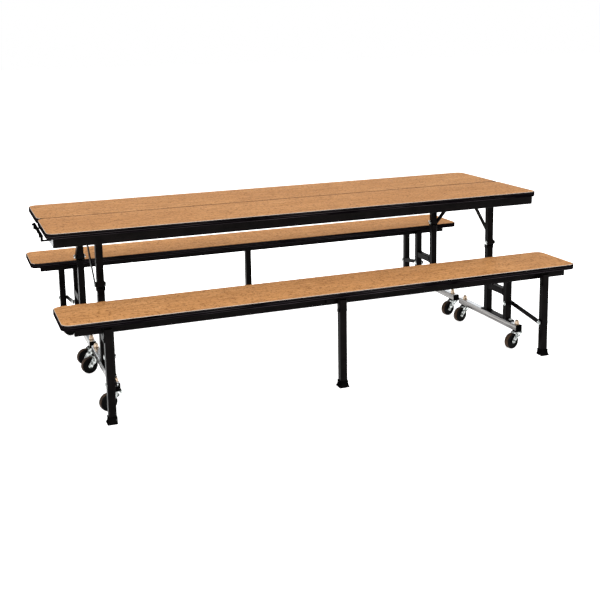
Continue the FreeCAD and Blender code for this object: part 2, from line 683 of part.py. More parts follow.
def ladder():
    """Inner and outer post on the foot strip, the cross tube and the ears of the leaf pivot."""
    top = "leaf_pivot_height - tube_side / 2 - post_gap"
    length = f"{top} - strip_top"
    inner_post = tube("inner_post", "tube_side", "tube_side", length, "tube_wall", "tube_chamfer")
    place(inner_post, "ladder_place", "inner_post_place", "strip_top")
    pivot, link_hole = "bench_pivot - strip_top", "link_inner_height - strip_top"
    outer_post = pivot_post("outer_post", "tube_side", pivot, [pivot, link_hole])
    place(outer_post, "ladder_place", "outer_post_place", "strip_top")
    span = "outer_post_place - inner_post_place - tube_side"
    cross_tube = tube("cross_tube", "tube_side", "tube_side", span, "tube_wall", "tube_chamfer")
    place(cross_tube, "ladder_place", "inner_post_place + tube_side / 2", "cross_tube_height", ALONG_Y)
    ear_foot = "leaf_pivot_height - ear_length"
    outer_ear = place(ear("outer_ear"), "ladder_place + tube_side / 2", "inner_post_place", ear_foot)
    inner_face = "ladder_place - tube_side / 2 - ear_thick"
    inner_ear = place(ear("inner_ear"), inner_face, "inner_post_place", ear_foot)
    strip = new_body("foot_strip")
    face = new_sketch(strip, "XY_Plane", "face")
    length = "outer_post_place - inner_post_place + 2 * strip_reach"
    rectangle(face, "tube_side", length)
    hole = "strip_bolt_side + 2 * running_gap"
    for end in (f"(({length}) / 2 - strip_bolt_inset)", f"(strip_bolt_inset - ({length}) / 2)"):
        rectangle(face, hole, hole, y=end)
    pad(face, "strip_thick")
    place(strip, "ladder_place", "(inner_post_place + outer_post_place) / 2", "bar_top")
    return [inner_post, outer_post, cross_tube, outer_ear, inner_ear, strip]


def caster_bar():
    """Bar across the unit, with square holes for the necks of the caster stems and the bolts."""
    bar = tube("caster_bar", "tube_side", "tube_side", "bar_length", "tube_wall", "tube_chamfer")
    stems = new_sketch(bar, "XZ_Plane", "stems")
    neck_hole = "neck_side + 2 * running_gap"
    for stem in ("inner_caster_place", "outer_caster_place"):
        rectangle(stems, neck_hole, neck_hole, y=f"({stem} - bar_start)")
    pocket(stems, "2 * tube_side", symmetric=True)
    bolts = new_sketch(bar, "XZ_Plane", "bolts")
    bolt_hole = "strip_bolt_side + 2 * running_gap"
    for bolt in ("inner_bolt_place", "outer_bolt_place"):
        rectangle(bolts, bolt_hole, bolt_hole, y=f"({bolt} - bar_start)")
    pocket(bolts, "tube_side", along_normal=True)
    return [place(bar, "ladder_place", "bar_start", "bar_bottom + tube_side / 2", ALONG_Y)]


def bar_cap(name, y, turn):
    """End cap: a square head as large as the bar and a plug inside it."""
    body = new_body(name)
    head = new_sketch(body, "XY_Plane", "head")
    chamfered_rectangle(head, "tube_side", "tube_side", "tube_chamfer")
    pad(head, "cap_thick")
    plug = new_sketch(body, "XY_Plane", "plug")
    inside = "tube_side - 2 * tube_wall - 2 * cap_play"
    rectangle(plug, inside, inside)
    pad(plug, "cap_plug", reverse=True)
    return place(body, "ladder_place", y, "bar_bottom + tube_side / 2", turn)


def bar_caps():
    caps = [
        bar_cap("outer_cap", "bar_outer_end - cap_thick", ALONG_Y),
        bar_cap("inner_cap", "bar_inner_end + cap_thick", ALONG_Y.inverted()),
    ]
    return caps + [mirrored(cap) for cap in caps]


def base_bolts():
    """Bolts of the foot strip, of the leaf pivot and of the link, and the caster stems."""
    bolts = []
    for name, y in (("inner_strip_bolt", "inner_bolt_place"), ("outer_strip_bolt", "outer_bolt_place")):
        stages = [
            ("square", "strip_bolt_side / 2", "strip_top - strip_bolt_length", "strip_top"),
            ("hex", "strip_head_radius", "strip_top", "strip_top + head_thick"),
        ]
        bolts.append(place(stacked(name, stages), "ladder_place", y))
    inner_side, outer_side = "ladder_place - tube_side / 2", "ladder_place + tube_side / 2"
    inner_ear, outer_ear = f"{inner_side} - ear_thick", f"{outer_side} + ear_thick"
    brace_face = "ladder_place + brace_inside + brace_thick + running_gap"
    stages = [
        ("hex", "head_radius", f"{inner_ear} - head_thick", inner_ear),
        ("round", "pin_radius", inner_ear, brace_face),
        ("hex", "head_radius", brace_face, f"{brace_face} + head_thick"),
    ]
    leaf_bolt = stacked("leaf_pivot_bolt", stages)
    bolts.append(place(leaf_bolt, "0", "inner_post_place", "leaf_pivot_height", ALONG_X))
    link_face = "link_outside + running_gap"
    stages = [
        ("hex", "head_radius", f"{inner_side} - head_thick", inner_side),
        ("round", "pin_radius", inner_side, link_face),
        ("hex", "shoulder_radius", outer_side, "link_inside - running_gap"),
        ("hex", "head_radius", link_face, f"{link_face} + head_thick / 2"),
    ]
    link_bolt = stacked("post_link_bolt", stages)
    bolts.append(place(link_bolt, "0", "outer_post_place", "link_inner_height", ALONG_X))
    for name, y in (("inner_stem", "inner_caster_place"), ("outer_stem", "outer_caster_place")):
        head_top = "crown_bottom - running_gap"
        stages = [
            ("hex", "kingpin_head_radius", f"{head_top} - kingpin_head", head_top),
            ("round", "pin_radius", head_top, "race_bottom"),
            ("round", "crown_radius", "race_bottom", "bar_bottom"),
            ("square", "neck_side / 2", "bar_bottom", "bar_top"),
            ("hex", "nut_radius", "bar_top", "bar_top + nut_height"),
            ("hex", "nut_cap_radius", "bar_top + nut_height", "bar_top + nut_height + nut_cap"),
        ]
        bolts.append(place(stacked(name, stages), "ladder_place", y))
    return bolts + [mirrored(bolt) for bolt in bolts]


# ---------------------------------------------------------------- casters, swivel axis on their own Z

def caster_fork():
    """Pressed fork with two legs under its crown and a riveted axle; the wheel trails along +x."""
    body = new_body("caster_fork")
    side = new_sketch(body, "XZ_Plane", "side")
    polygon(side, [
        ("-crown_radius", "crown_top"),
        ("crown_radius", "crown_top"),
        ("wheel_trail + fork_lobe", "wheel_radius"),
        ("wheel_trail + fork_lobe / 2", "wheel_radius - fork_lobe"),
        ("wheel_trail - fork_lobe / 2", "wheel_radius - fork_lobe"),
        ("wheel_trail - fork_lobe", "wheel_radius"),
        ("-crown_radius", "crown_bottom - fork_lip"),
    ])
    pad(side, "fork_outside", symmetric=True)
    throat = new_sketch(body, "XZ_Plane", "throat")
    length = "2 * crown_radius + wheel_trail + 2 * fork_lobe"
    rectangle(throat, length, "crown_bottom", "wheel_trail / 2", "crown_bottom / 2")
    pocket(throat, "fork_inside", symmetric=True)
    pin_hole = new_sketch(body, "XY_Plane", "pin_hole", "crown_bottom - fork_lip")
    circle(pin_hole, "0", "0", "pin_radius + running_gap")
    pocket(pin_hole, "2 * fork_lip + crown_thick", along_normal=True)
    stages = [
        ("hex", "axle_head_radius", "-fork_outside / 2 - axle_head", "-fork_outside / 2"),
        ("round", "axle_radius", "-fork_outside / 2", "fork_outside / 2"),
        ("hex", "axle_head_radius", "fork_outside / 2", "fork_outside / 2 + axle_head"),
    ]
    axle = place(stacked("wheel_axle", stages), "wheel_trail", "0", "wheel_radius", ALONG_Y)
    riveted = doc.addObject("Part::MultiFuse", "fork_and_axle")
    riveted.Shapes = [body, axle]
    return [riveted]


def caster_wheel():
    """Solid wheel with its tread and a bore on the axle."""
    tread = doc.addObject("Part::Cylinder", "wheel_tread")
    bind(tread, {"Radius": "wheel_radius", "Height": "wheel_width"})
    place(tread, "wheel_trail", "-wheel_width / 2", "wheel_radius", ALONG_Y)
    bore = doc.addObject("Part::Cylinder", "wheel_bore")
    bind(bore, {"Radius": "axle_radius + running_gap", "Height": "2 * wheel_width"})
    place(bore, "wheel_trail", "-wheel_width", "wheel_radius", ALONG_Y)
    wheel = doc.addObject("Part::Cut", "caster_wheel")
    wheel.Base, wheel.Tool = tread, bore
    return [wheel]


# ---------------------------------------------------------------- nodes

nodes = []


def add_node(label, pieces, turn, x="0", y="0"):
    node = doc.addObject("Part::Compound", label)
    node.Label = label
    node.Links = pieces
    nodes.append(place(node, x, y, "0", turn))


top_board, top_edging = board_and_edging("top", "top_length", "leaf_inner_edge", "leaf_edge", "top_bottom")
bench_edges = ("bench_inner_edge", "bench_outer_edge")
bench_board, bench_edging = board_and_edging("bench", "bench_length", *bench_edges, "bench_bottom")
end_leg, middle_leg = bench_legs()
whole = {
    "top_board": [top_board],
    "top_edging": [top_edging],
    "top_rails": leaf_rails(),
    "release_handle": release_pull(),
    "bench_board": [bench_board],
    "bench_edging": [bench_edging],
    "bench_rails": bench_rails(),
    "bench_brackets": bench_brackets(),
    "bench_leg_mid": middle_leg,
    "leg_feet": foot_boots(),
    "bar_caps": bar_caps(),
    "base_bolts": base_bolts(),
}
one_sided = {
    "top_leg": upper_leg(),
    "bench_leg": end_leg,
    "link": link(),
    "ladder": ladder(),
    "caster_bar": caster_bar(),
}
other_sided = {name: [mirrored(piece) for piece in pieces] for name, pieces in one_sided.items()}
fork, wheel = caster_fork(), caster_wheel()

# Half a turn brings the unit's drawn +x side to the left of the front unit.
UNITS = (("rear", AS_DRAWN, "right", "left", 1), ("front", HALF_TURN, "left", "right", -1))
for unit, turn, drawn_side, other_side, outwards in UNITS:
    for name, pieces in whole.items():
        add_node(f"{unit}_{name}", pieces, turn)
    for name in one_sided:
        add_node(f"{unit}_{name}_{drawn_side}", one_sided[name], turn)
        add_node(f"{unit}_{name}_{other_side}", other_sided[name], turn)
    for side, along in (("left", -1), ("right", 1)):
        for end in ("inner", "outer"):
            x, y = f"{along} * ladder_place", f"{outwards} * {end}_caster_place"
            swivel = Rotation(Vector(0, 0, 1), value("trail_direction"))
            add_node(f"{unit}_fork_{end}_{side}", fork, swivel, x, y)
            add_node(f"{unit}_wheel_{end}_{side}", wheel, swivel, x, y)
doc.recompute()

# ---------------------------------------------------------------- check and write

for thing in doc.Objects:
    if "Invalid" in thing.State or "Error" in thing.State:
        raise RuntimeError(f"{thing.Label} failed: {thing.State}")
for node in nodes:
    if node.Shape.isNull() or not node.Shape.isValid() or not node.Shape.Solids:
        raise RuntimeError(f"{node.Label} has no valid solid")

os.makedirs("parts", exist_ok=True)
for node in nodes:
    node.Shape.exportStep(f"parts/{node.Label}.step")
print(len(nodes), "sub-parts written")
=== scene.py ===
import bmesh
import bpy
import math
from mathutils import Matrix, Vector


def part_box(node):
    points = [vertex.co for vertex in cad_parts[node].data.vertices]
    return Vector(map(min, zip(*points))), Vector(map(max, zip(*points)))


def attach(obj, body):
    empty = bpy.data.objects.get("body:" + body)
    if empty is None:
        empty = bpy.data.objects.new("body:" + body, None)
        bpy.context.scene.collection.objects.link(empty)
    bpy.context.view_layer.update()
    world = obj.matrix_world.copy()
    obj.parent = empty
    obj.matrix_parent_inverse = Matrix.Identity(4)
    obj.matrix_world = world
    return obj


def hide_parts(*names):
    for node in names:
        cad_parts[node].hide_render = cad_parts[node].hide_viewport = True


# Looks of the cafeteria folding table with benches, in metres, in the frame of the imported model.
# Two equal units stand seam to seam. Pieces are shaped in the rear unit's place, where y counts
# outwards from the seam, and the front unit takes the same pieces after half a turn about Z.
# Paired pieces are shaped on the +x side and mirrored. Casters are shaped about their own stem.

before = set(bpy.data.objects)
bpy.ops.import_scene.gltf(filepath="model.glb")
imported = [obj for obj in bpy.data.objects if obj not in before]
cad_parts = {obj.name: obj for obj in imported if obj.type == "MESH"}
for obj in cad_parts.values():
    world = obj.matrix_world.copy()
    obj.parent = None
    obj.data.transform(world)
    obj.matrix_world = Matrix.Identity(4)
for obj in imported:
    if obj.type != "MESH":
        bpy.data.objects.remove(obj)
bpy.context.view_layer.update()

UNIT_TURNS = {"rear": Matrix.Identity(4), "front": Matrix.Rotation(math.pi, 4, "Z")}
MIRROR = Matrix.Scale(-1, 4, (1, 0, 0))

# boards and edging
CORNER_RADIUS = 0.040
CORNER_STEPS = 10
EDGING_THICK = 0.003
EDGING_RIM = 0.0011
LAMINATE_THICK = 0.0014
LAMINATE_EASE = 0.0012
EDGING_DROP = 0.0012
RIB_PITCH = 0.008
RIB_SHOULDER = 0.36 * RIB_PITCH
# rails under the boards
APRON_THICK = 0.020
LEAF_RAIL_WIDTH = 0.020
LEAF_RAIL_DEPTH = 0.022
BENCH_RAIL_SIDE = 0.022
STRIP_START = 1.1922
PLUG_STAND = 0.0025
PLUG_EASE = 0.0009
SOLE_DEPTH = 0.010
SOLE_PROUD = 0.0003
SOLE_LAP = 0.006
SOLE_EASE = 0.0012
SCREW_RADIUS = 0.0042
SCREW_PLACES = (0.180, 0.500, 0.820, 1.100)
SCREW_DROPS = {"leaf": (0.0, 0.0), "bench": (SOLE_DEPTH, 0.0)}
# square tube, its welds and its bolts
TUBE_HALF = 0.016
UPPER_LEG_HALF = 0.011
STRIP_THICK = 0.005
CROSS_HEIGHT = 0.255
WELD_REACH = 0.0022
WELD_THICK = 0.0026
WELD_EASE = 0.0009
LINK_HALF = 0.011
LINK_PLAY = 0.0003
LINK_STAND = 0.008
PIVOT_BELOW_TOP = 0.012
PIVOT_SEAT_INSIDE = 0.020
PIVOT_SEAT_OUTSIDE = 0.0256
HEX_RADIUS = 0.009
HEX_THICK = 0.006
WASHER_THICK = 0.0012
THIN_HEAD = 0.003
LINK_HEAD = 0.0061
HEAD_OVER = 0.0002
SPACER_RADIUS = 0.009
SPACER_EASE = 0.0004
STRIP_BOLT_RADIUS = 0.008
STRIP_BOLT_REACH = 0.029
# boots under the bench legs
BOOT_HALF = 0.0185
BOOT_CORNER = 0.003
# release pull
GRIP_RADIUS = 0.007
GRIP_BACK = 0.011
GRIP_END = 0.0015
NUB_RADIUS = 0.005
ARM_HALF = 0.006
ARM_RISE = 0.003
ARM_THICK = 0.006
STOP_HALF = 0.009
STOP_THICK = 0.006
UPRIGHT_HALF = 0.005
FINGER_WAVES = 4
FINGER_DEPTH = 0.20
# casters
WHEEL_RADIUS = 0.038
WHEEL_TRAIL = 0.038
TREAD_START = 0.0370
HUB_BORE = 0.0043
FORK_INSIDE = 0.0145
FORK_OUTSIDE = 0.017
LOBE_RADIUS = 0.011
LOBE_POINTS = 9
LOBE_START = 20
LOBE_STEP = 25
FORK_FRONT = 0.0695
FORK_EASE = 0.001
BEAD_START = (0.006, 0.073)
BEAD_REACH = (0.006, 0.034)
BEAD_HALF = 0.0025
BEAD_STAND = 0.0007
BEAD_LEAN = math.radians(48)
CROWN_RADIUS = 0.022
CROWN_BOTTOM = 0.0775
CROWN_TOP = 0.080
RACE_BOTTOM = 0.0803
BAR_BOTTOM = 0.084
BAR_TOP = 0.116
RACE_BORE = 0.007
RACE_RADIUS = 0.022
AXLE_HEAD = 0.004
AXLE_HEAD_RADIUS = 0.0075
NUT_RADIUS = 0.011
NUT_HEIGHT = 0.013
DOME_HEIGHT = 0.010
CAP_THICK = 0.006
CAP_EASE = 0.0018
TRAIL_TURN = Matrix.Rotation(math.radians(195), 4, "Z")
CASTERS = ("inner_left", "inner_right", "outer_left", "outer_right")


# ---------------------------------------------------------------- shaping

def block(low, high, ease=0.0, segments=2):
    """Box between two corners, with its edges eased."""
    form = bmesh.new()
    size = [b - a for a, b in zip(low, high)]
    middle = Vector([(a + b) / 2 for a, b in zip(low, high)])
    bmesh.ops.create_cube(form, size=1.0, matrix=Matrix.Translation(middle) @ Matrix.Diagonal((*size, 1.0)))
    if ease:
        round_edges(form, form.edges[:], ease, segments)
    return form


def round_edges(form, edges, width, segments=3):
    """Round the edges off by the width."""
    bmesh.ops.bevel(form, geom=edges, offset=width, offset_type="OFFSET", segments=segments,
                    profile=0.5, affect="EDGES", material=-1, clamp_overlap=True)


def edges_along(form, axis):
    """Edges that run along the axis: 0, 1 or 2."""
    found = []
    for edge in form.edges:
        run = (edge.verts[1].co - edge.verts[0].co).normalized()
        if abs(run[axis]) > 0.999:
            found.append(edge)
    return found


def sharp_edges(form, angle=50):
    """Edges between two faces that meet at more than the angle, in degrees."""
    limit = math.radians(angle)
    return [edge for edge in form.edges if len(edge.link_faces) == 2 and edge.calc_face_angle() > limit]


def turned(profile, steps=32):
    """Solid turned about Z from an outline of radius and height, low to high."""
    form = bmesh.new()
    points = [form.verts.new((radius, 0, height)) for radius, height in profile]
    lines = [form.edges.new(pair) for pair in zip(points, points[1:])]
    bmesh.ops.spin(form, geom=points + lines, cent=(0, 0, 0), axis=(0, 0, 1),
                   angle=2 * math.pi, steps=steps, use_merge=True)
    bmesh.ops.remove_doubles(form, verts=form.verts, dist=1e-6)
    bmesh.ops.recalc_face_normals(form, faces=form.faces)
    return form


def hexagon(radius, low, high, ease=0.0008):
    """Six-sided head along Z with its edges eased."""
    form = bmesh.new()
    bmesh.ops.create_cone(form, cap_ends=True, segments=6, radius1=radius, radius2=radius,
                          depth=high - low, matrix=Matrix.Translation((0, 0, (low + high) / 2)))
    round_edges(form, form.edges[:], ease, 2)
    return form


def plate(outline, low, high, ease=0.0008):
    """Sheet across Y between two places, from an outline of x and z."""
    form = bmesh.new()
    face = form.faces.new([form.verts.new((x, low, z)) for x, z in outline])
    raised = bmesh.ops.extrude_face_region(form, geom=[face])
    corners = [part for part in raised["geom"] if isinstance(part, bmesh.types.BMVert)]
    bmesh.ops.translate(form, verts=corners, vec=(0, high - low, 0))
    bmesh.ops.recalc_face_normals(form, faces=form.faces)
    round_edges(form, sharp_edges(form, 60), ease, 2)
    return form


def cut_levels(form, axis, places):
    """Rings of edges across the form, one at each place along the axis."""
    for place in places:
        spot, across = [0, 0, 0], [0, 0, 0]
        spot[axis], across[axis] = place, 1
        everything = form.verts[:] + form.edges[:] + form.faces[:]
        bmesh.ops.bisect_plane(form, geom=everything, plane_co=spot, plane_no=across)


def join(forms):
    """One form out of several, each left as it is."""
    whole = bmesh.new()
    for form in forms:
        carrier = bpy.data.meshes.new("carrier")
        form.to_mesh(carrier)
        form.free()
        whole.from_mesh(carrier)
        bpy.data.meshes.remove(carrier)
    return whole


def put(form, *matrices):
    """Move a form through the matrices, the first one first."""
    for matrix in matrices:
        bmesh.ops.transform(form, matrix=matrix, verts=form.verts)
        if matrix.determinant() < 0:
            bmesh.ops.reverse_faces(form, faces=form.faces)
    return form


def both_sides(shape):
    """What shape() draws on the +x side, with its mirror image."""
    return join([shape(), put(shape(), MIRROR)])


def facing(axis, place):
    """Matrix that points +Z along the axis and moves the origin to the place."""
    turn = Vector((0, 0, 1)).rotation_difference(Vector(axis)).to_matrix().to_4x4()
    return Matrix.Translation(place) @ turn


def make_piece(name, form, finishes, body, stands_for=(), smooth_angle=32):
    """Finished piece from a form in the shared frame, riding on its body."""
    mesh = bpy.data.meshes.new(name)
    form.to_mesh(mesh)
    form.free()
    for finish in finishes:
        mesh.materials.append(finish)
    mesh.shade_smooth()
    mesh.set_sharp_from_angle(angle=math.radians(smooth_angle))
    piece = bpy.data.objects.new(name, mesh)
    bpy.context.scene.collection.objects.link(piece)
    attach(piece, body)
    if stands_for:
        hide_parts(*stands_for)
    return piece


def make_for_units(name, shape, finishes, body, node=None):
    """The same piece on both units; shape() draws it in the rear unit's place."""
    for unit, turn in UNIT_TURNS.items():
        stands_for = (f"{unit}_{node}",) if node else ()
        make_piece(f"{unit}_{name}", put(shape(), turn), finishes, f"{unit}_{body}", stands_for)


# ---------------------------------------------------------------- finishes

def shade(red, green, blue):
    """Colour of a surface from display values of 0 to 255."""
    parts = [value / 255 for value in (red, green, blue)]
    linear = [part / 12.92 if part < 0.04045 else ((part + 0.055) / 1.055) ** 2.4 for part in parts]
    return (*linear, 1)


class Finish:
    """Material built up node by node on object coordinates."""

    def __init__(self, name, roughness, metallic=0.0, specular=0.5):
        self.material = bpy.data.materials.new(name)
        self.material.use_nodes = True
        self.tree = self.material.node_tree
        self.shader = self.tree.nodes["Principled BSDF"]
        self.shader.inputs["Roughness"].default_value = roughness
        self.shader.inputs["Metallic"].default_value = metallic
        self.shader.inputs["Specular IOR Level"].default_value = specular
        self.place = self.add("ShaderNodeTexCoord").outputs["Object"]

    def add(self, kind, inputs=None, **settings):
        node = self.tree.nodes.new(kind)
        for key, setting in settings.items():
            setattr(node, key, setting)
        for key, source in (inputs or {}).items():
            if isinstance(source, bpy.types.NodeSocket):
                self.tree.links.new(source, node.inputs[key])
            else:
                node.inputs[key].default_value = source
        return node

    def stretched(self, scale, shift=(0, 0, 0)):
        settings = {"Vector": self.place, "Scale": scale, "Location": shift}
        return self.add("ShaderNodeMapping", settings).outputs["Vector"]

    def noise(self, scale, detail=3, roughness=0.5, place=None):
        place = place or self.place
        settings = {"Vector": place, "Scale": scale, "Detail": detail, "Roughness": roughness}
        return self.add("ShaderNodeTexNoise", settings).outputs["Fac"]

    def ramp(self, source, *stops):
        node = self.add("ShaderNodeValToRGB", {"Fac": source})
        line = node.color_ramp.elements
        while len(line) < len(stops):
            line.new(0.5)
        for element, (position, colour) in zip(line, stops):
            element.position = position
            element.color = colour
        return node.outputs["Color"]

    def band(self, source, low, high, start=0.0, end=1.0):
        settings = {"Value": source, "From Min": low, "From Max": high, "To Min": start, "To Max": end}
        return self.add("ShaderNodeMapRange", settings, clamp=True).outputs["Result"]

    def blend(self, amount, first, second):
        node = self.add("ShaderNodeMix", {"Factor": amount}, data_type="RGBA")
        for socket, source in ((6, first), (7, second)):
            if isinstance(source, bpy.types.NodeSocket):
                self.tree.links.new(source, node.inputs[socket])
            else:
                node.inputs[socket].default_value = source
        return node.outputs[2]

    def maths(self, kind, first, second=0.0):
        return self.add("ShaderNodeMath", {0: first, 1: second}, operation=kind).outputs[0]

    def axis(self, name):
        return self.add("ShaderNodeSeparateXYZ", {0: self.place}).outputs[name]

    def colour(self, source):
        self.tree.links.new(source, self.shader.inputs["Base Color"])

    def roughness(self, source):
        self.tree.links.new(source, self.shader.inputs["Roughness"])

    def relief(self, height, depth, strength=1.0):
        bump = self.add("ShaderNodeBump", {"Height": height, "Strength": strength, "Distance": depth})
        self.tree.links.new(bump.outputs["Normal"], self.shader.inputs["Normal"])


def oak_laminate():
    """Printed oak: broad tone, flame figure, flecks, and short dark pores along the board."""
    finish = Finish("oak_laminate", roughness=0.48, specular=0.01)
    tone = finish.noise(1.0, 2, place=finish.stretched((1.4, 7, 1)))
    drift = finish.noise(1.0, 3, place=finish.stretched((1.6, 9, 1), (3.1, 0.4, 0)))
    rings = finish.maths("MULTIPLY", finish.axis("Y"), 22)
    wander = finish.maths("MULTIPLY", drift, 9)
    flame = finish.maths("PINGPONG", finish.maths("ADD", rings, wander), 0.5)
    fibre = finish.noise(1.0, 6, 0.65, finish.stretched((9, 130, 1)))
    flecks = finish.noise(1.0, 3, 0.75, finish.stretched((85, 62, 1), (5, 1, 4)))
    pores = finish.noise(1.0, 2, 0.6, finish.stretched((70, 150, 1), (0, 0, 2)))
    body = finish.ramp(tone, (0.30, shade(199, 145, 92)), (0.70, shade(187, 133, 82)))
    body = finish.blend(finish.band(flame, 0.28, 0.50, 0.0, 0.45), body, shade(156, 108, 64))
    body = finish.blend(finish.band(fibre, 0.45, 0.70, 0.0, 0.55), body, shade(150, 102, 60))
    body = finish.blend(finish.band(fibre, 0.30, 0.42, 0.35, 0.0), body, shade(222, 174, 122))
    body = finish.blend(finish.band(flecks, 0.52, 0.66, 0.0, 0.85), body, shade(128, 82, 46))
    body = finish.blend(finish.band(pores, 0.60, 0.70, 0.0, 0.85), body, shade(88, 54, 30))
    finish.colour(body)
    finish.roughness(finish.band(fibre, 0.3, 0.8, 0.38, 0.50))
    finish.relief(fibre, 0.00005, 0.4)
    return finish.material


def laminate_cut_highlight():
    """Pale colour on the laminate's edge where it is trimmed at a slant: a painted highlight line along the
    rim.
    """
    finish = Finish("laminate_cut_highlight", roughness=0.5, specular=0.4)
    layers = finish.noise(120, 3)
    finish.colour(finish.ramp(layers, (0.3, shade(184, 172, 158)), (0.7, shade(208, 198, 186))))
    return finish.material


def board_core():
    """Pressed chips under a dark backing sheet."""
    finish = Finish("board_core", roughness=0.7, specular=0.3)
    chips = finish.noise(260, 4, 0.6)
    finish.colour(finish.ramp(chips, (0.35, shade(44, 34, 28)), (0.65, shade(62, 49, 40))))
    finish.relief(chips, 0.0002, 0.3)
    return finish.material


def coated_black(name, low, high, grain, roughness, specular):
    """Black coat: two near blacks mottled together, with the fine relief of its grain."""
    finish = Finish(name, roughness=roughness, specular=specular)
    mottle = finish.noise(18, 3)
    peel = finish.noise(grain, 2, 0.4)
    finish.colour(finish.ramp(mottle, (0.35, low), (0.65, high)))
    finish.roughness(finish.band(mottle, 0.3, 0.7, roughness - 0.05, roughness + 0.07))
    finish.relief(peel, 0.00006, 0.5)
    return finish.material


def ribbed_vinyl():
    """Black moulded edging with fine ribs along it; each rib carries a painted highlight, broken up here
    and there.
    """
    finish = Finish("edging_vinyl", roughness=0.26, specular=0.0)
    mottle = finish.noise(18, 3, place=finish.stretched((1, 6, 6)))
    black = finish.ramp(mottle, (0.35, shade(3, 2, 3)), (0.65, shade(9, 7, 9)))
    rib = finish.maths("PINGPONG", finish.axis("Z"), RIB_PITCH / 2)
    worn = finish.noise(1.0, 3, place=finish.stretched((3, 3, 60)))
    # Painted highlight: paler grey on the top of each rib, broken up in patches by noise.
    painted_rib_highlight = finish.band(rib, RIB_SHOULDER, RIB_PITCH / 2)
    painted_rib_highlight = finish.maths("MULTIPLY", painted_rib_highlight, finish.band(worn, 0.35, 0.65))
    finish.colour(finish.blend(painted_rib_highlight, black, shade(64, 60, 62)))
    finish.roughness(finish.band(mottle, 0.3, 0.7, 0.22, 0.34))
    finish.relief(rib, 0.4, 0.3)
    return finish.material


def leaf_frame_paint():
    """Black coat of the rails, with the bare grey end strips beyond the ends of the rails."""
    finish = Finish("leaf_frame_paint", roughness=0.30, specular=0.03)
    mottle = finish.noise(18, 3)
    peel = finish.noise(900, 2, 0.4)
    beyond = finish.maths("GREATER_THAN", finish.maths("ABSOLUTE", finish.axis("X")), STRIP_START)
    black = finish.ramp(mottle, (0.35, shade(3, 2, 2)), (0.65, shade(8, 6, 6)))
    grey = finish.ramp(finish.noise(60, 4), (0.3, shade(140, 142, 144)), (0.7, shade(172, 173, 175)))
    finish.colour(finish.blend(beyond, black, grey))
    finish.relief(peel, 0.00006, 0.5)
    return finish.material


def plated(name, dark, light, roughness, spread, grain):
    """Plated steel with cloudy patches and fine draw lines."""
    finish = Finish(name, roughness=roughness, metallic=1.0)
    cloud = finish.noise(grain, 4, 0.6)
    lines = finish.noise(1.0, 3, 0.7, finish.stretched((300, 300, 300)))
    finish.colour(finish.ramp(cloud, (0.42, dark), (0.58, light)))
    finish.roughness(finish.band(lines, 0.3, 0.7, roughness - spread, roughness + spread))
    finish.relief(lines, 0.00003, 0.4)
    return finish.material


def drawn_bright_bar():
    """Bright plate on drawn tube: the top face painted pale as a reflection, the sides painted greyer as
    shade, with dark lines along the tube.
    """
    finish = Finish("bright_plate", roughness=0.24, metallic=1.0)
    lines = finish.noise(1.0, 4, 0.7, finish.stretched((140, 3, 140)))
    cloud = finish.noise(30, 3)
    # Painted light by which way the face points: painted shade greys the sides, a painted reflection makes
    # the top face pale.
    side = finish.ramp(lines, (0.38, shade(70, 68, 67)), (0.62, shade(162, 160, 158)))
    painted_top_reflection = finish.ramp(cloud, (0.3, shade(214, 219, 224)), (0.7, shade(236, 239, 242)))
    facing_way = finish.add("ShaderNodeNewGeometry").outputs["Normal"]
    up = finish.add("ShaderNodeSeparateXYZ", {0: facing_way}).outputs["Z"]
    finish.colour(finish.blend(finish.band(up, 0.4, 0.8), side, painted_top_reflection))
    finish.roughness(finish.band(lines, 0.3, 0.7, 0.18, 0.32))
    finish.relief(lines, 0.00003, 0.4)
    return finish.material


def wheel_tread():
    """Brownish worn tread, paler where dust sits."""
    finish = Finish("wheel_tread", roughness=0.75, specular=0.2)
    dust = finish.noise(90, 5, 0.65)
    finish.colour(finish.ramp(dust, (0.3, shade(26, 19, 14)), (0.72, shade(70, 50, 35))))
    finish.relief(dust, 0.0002, 0.5)
    return finish.material


def pale_floor():
    """White floor with a little light of its own, so that it stays plain under the table."""
    finish = Finish("pale_floor", roughness=0.9, specular=0.0)
    cloud = finish.noise(0.6, 2)
    finish.colour(finish.ramp(cloud, (0.3, shade(252, 252, 252)), (0.7, shade(254, 254, 254))))
    finish.shader.inputs["Emission Color"].default_value = (1, 1, 1, 1)
    finish.shader.inputs["Emission Strength"].default_value = 0.66
    return finish.material


OAK = oak_laminate()
CUT_EDGE_HIGHLIGHT = laminate_cut_highlight()
CORE = board_core()
VINYL = ribbed_vinyl()
PAINT = coated_black("powder_coat", shade(3, 2, 2), shade(8, 6, 6), 900, 0.30, 0.022)
PLASTIC = coated_black("moulded_plastic", shade(3, 3, 3), shade(8, 7, 7), 1200, 0.45, 0.0)
WHEEL_BLACK = coated_black("wheel_body", shade(3, 3, 3), shade(7, 7, 6), 600, 0.42, 0.03)
BRIGHT = drawn_bright_bar()
ZINC = plated("zinc_plate", shade(66, 70, 68), shade(216, 220, 218), 0.28, 0.10, 90)
BOLT_ZINC = plated("bolt_zinc", shade(168, 174, 172), shade(240, 243, 242), 0.24, 0.06, 150)
WARM_ZINC = plated("warm_zinc", shade(150, 124, 100), shade(214, 194, 170), 0.26, 0.08, 150)
TREAD = wheel_tread()


# ---------------------------------------------------------------- boards

def rounded_panel(low, high, corner):
    """Flat board with its four upright edges rounded."""
    form = block(low, high)
    round_edges(form, edges_along(form, 2), corner, CORNER_STEPS)
    return form


